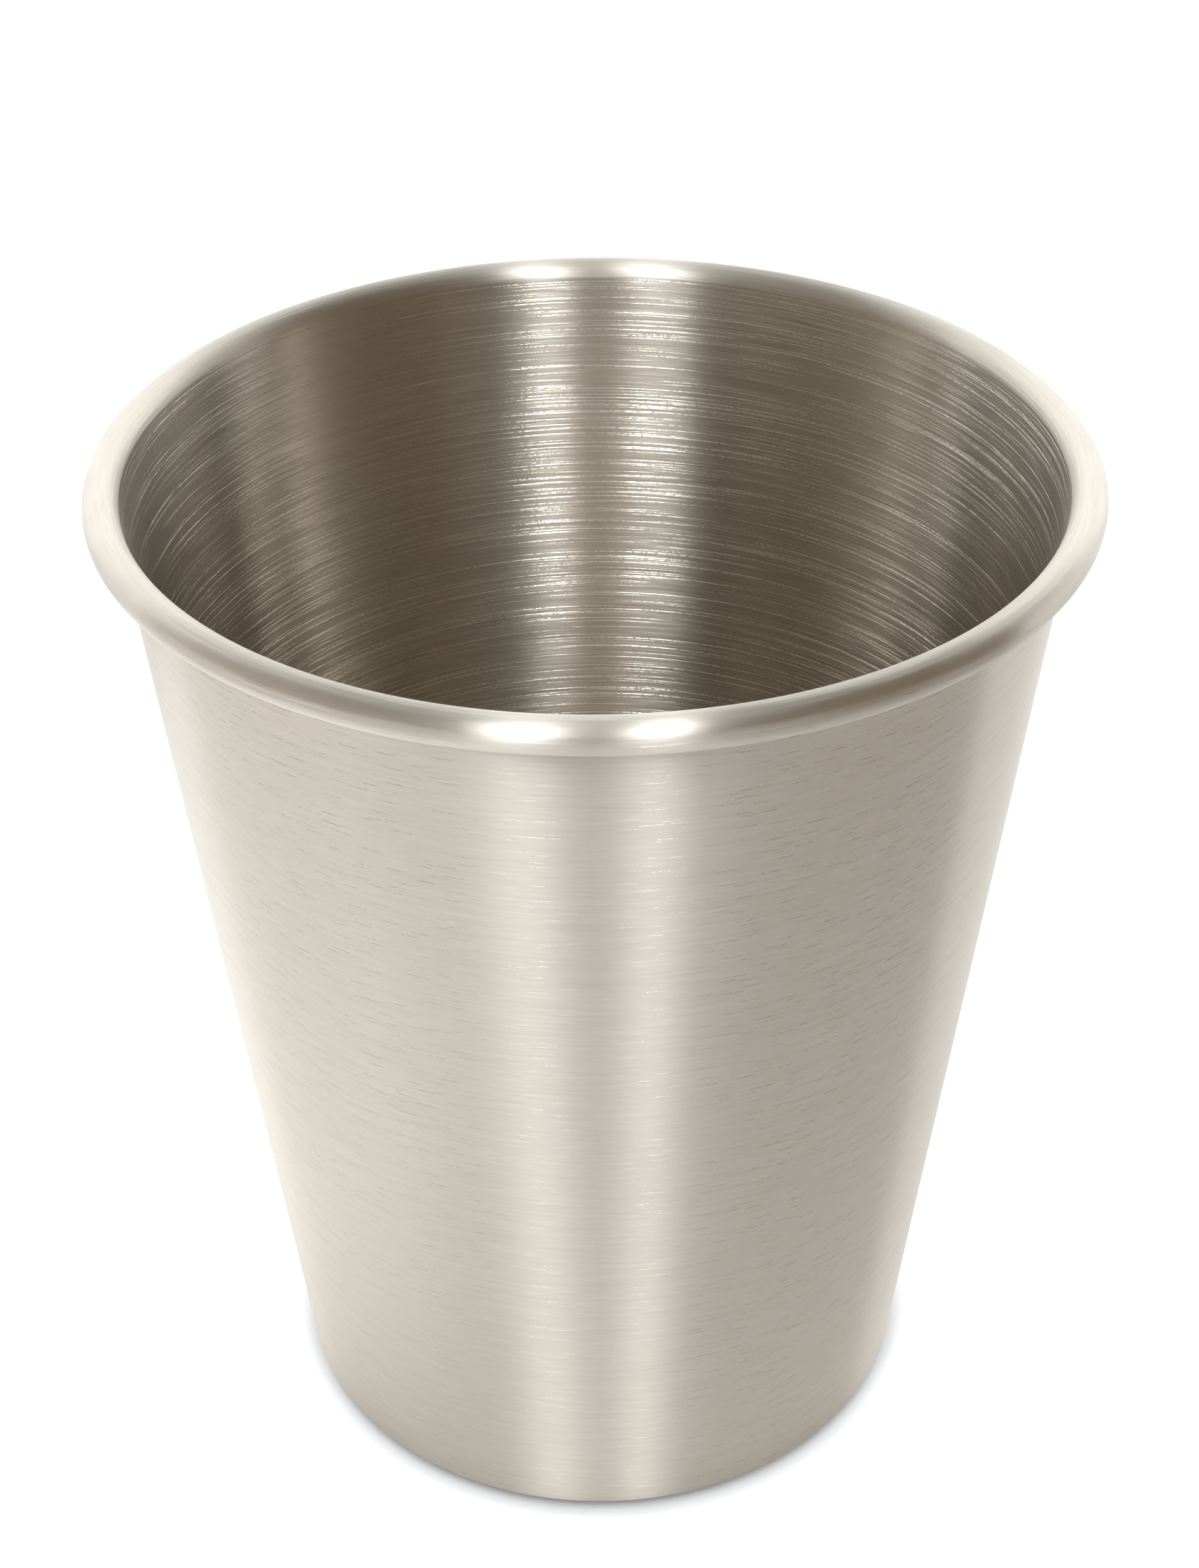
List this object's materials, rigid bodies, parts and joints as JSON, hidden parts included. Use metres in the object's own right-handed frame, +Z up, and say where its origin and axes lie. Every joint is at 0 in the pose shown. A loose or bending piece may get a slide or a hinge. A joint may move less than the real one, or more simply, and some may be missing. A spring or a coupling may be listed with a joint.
{
  "type": "julep cup",
  "caption": "Tapered round drinking cup of brushed sheet steel, with a lip rolled outward over a wire and a pressed base that stands on a flat foot ring.",
  "frame": {"origin": "on the cup's axis, at the level of the flat foot ring that it stands on", "axes": "+Z up along the cup's axis, towards the open lip; the cup is round, so X and Y are any two square directions"},
  "size_m": [0.09, 0.09, 0.1],
  "materials": {
    "cup_steel": "brushed around the cup, with a polished rolled lip",
    "wire_steel": "drawn wire, hidden inside the roll"
  },
  "bodies": {
    "root": {"cup_wall": "cup_steel", "base_pan": "cup_steel", "rim_wire": "wire_steel"}
  },
  "joints": []
}
